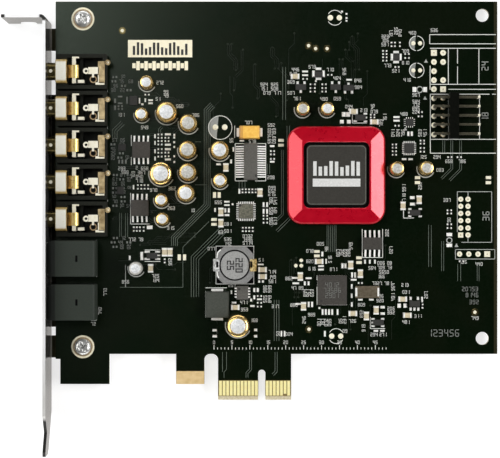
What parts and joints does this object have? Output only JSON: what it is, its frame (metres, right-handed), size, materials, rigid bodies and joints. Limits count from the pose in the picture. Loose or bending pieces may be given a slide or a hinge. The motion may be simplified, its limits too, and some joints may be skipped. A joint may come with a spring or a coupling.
{
  "type": "pci express sound card",
  "caption": "Computer sound card: a dark circuit board with a short edge connector, a folded metal bracket with audio jacks and optical ports, and a red framed processor cover.",
  "frame": {"origin": "middle of the edge connector's key notch, on the connector's lower edge, at mid-thickness of the board", "axes": "+X along the board away from the bracket, +Y from the connector to the board's top edge, +Z to the component side"},
  "size_m": [0.1368, 0.1262, 0.0184],
  "materials": {
    "board_laminate": "solder mask",
    "nickel_plate": "bright plated",
    "screw_steel": "satin",
    "black_moulding": "matte",
    "slate_moulding": "matte",
    "gold_plate": "polished",
    "spring_bronze": "satin",
    "chip_epoxy": "matte",
    "red_lacquer": "gloss",
    "dark_plate": "satin",
    "capacitor_can": "sleeved",
    "crystal_lid": "satin",
    "ferrite": "matte",
    "tinned": "bright",
    "tantalum_case": "gloss"
  },
  "bodies": {
    "root": {"amplifier_chip_1": "chip_epoxy", "amplifier_chip_2": "chip_epoxy", "bracket_screws": "screw_steel", "bridge_chip": "chip_epoxy", "buffer_chip": "chip_epoxy", "circuit_board": "board_laminate", "clock_chip": "chip_epoxy", "codec_chip": "chip_epoxy", "converter_chip": "chip_epoxy", "crystal_oscillator": "crystal_lid", "diode_tabs": "tinned", "electrolytic_capacitors": "capacitor_can", "flash_chip": "chip_epoxy", "header_body": "black_moulding", "header_pins": "gold_plate", "heat_spreader": "red_lacquer", "inductor_clips": "tinned", "inductor_core": "ferrite", "inductor_shield": "ferrite", "jack_contacts_1": "spring_bronze", "jack_contacts_2": "spring_bronze", "jack_contacts_3": "spring_bronze", "jack_contacts_4": "spring_bronze", "jack_contacts_5": "spring_bronze", "jack_ferrule_1": "gold_plate", "jack_ferrule_2": "gold_plate", "jack_ferrule_3": "gold_plate", "jack_ferrule_4": "gold_plate", "jack_ferrule_5": "gold_plate", "jack_housing_1": "black_moulding", "jack_housing_2": "black_moulding", "jack_housing_3": "black_moulding", "jack_housing_4": "black_moulding", "jack_housing_5": "black_moulding", "mounting_bracket": "nickel_plate", "optical_input_housing": "slate_moulding", "optical_output_housing": "slate_moulding", "power_chip": "chip_epoxy", "processor_chip": "chip_epoxy", "rectifier_diode": "chip_epoxy", "spreader_plate": "dark_plate", "tantalum_capacitor": "tantalum_case", "tantalum_tabs": "tinned", "transistors": "chip_epoxy"}
  },
  "joints": []
}
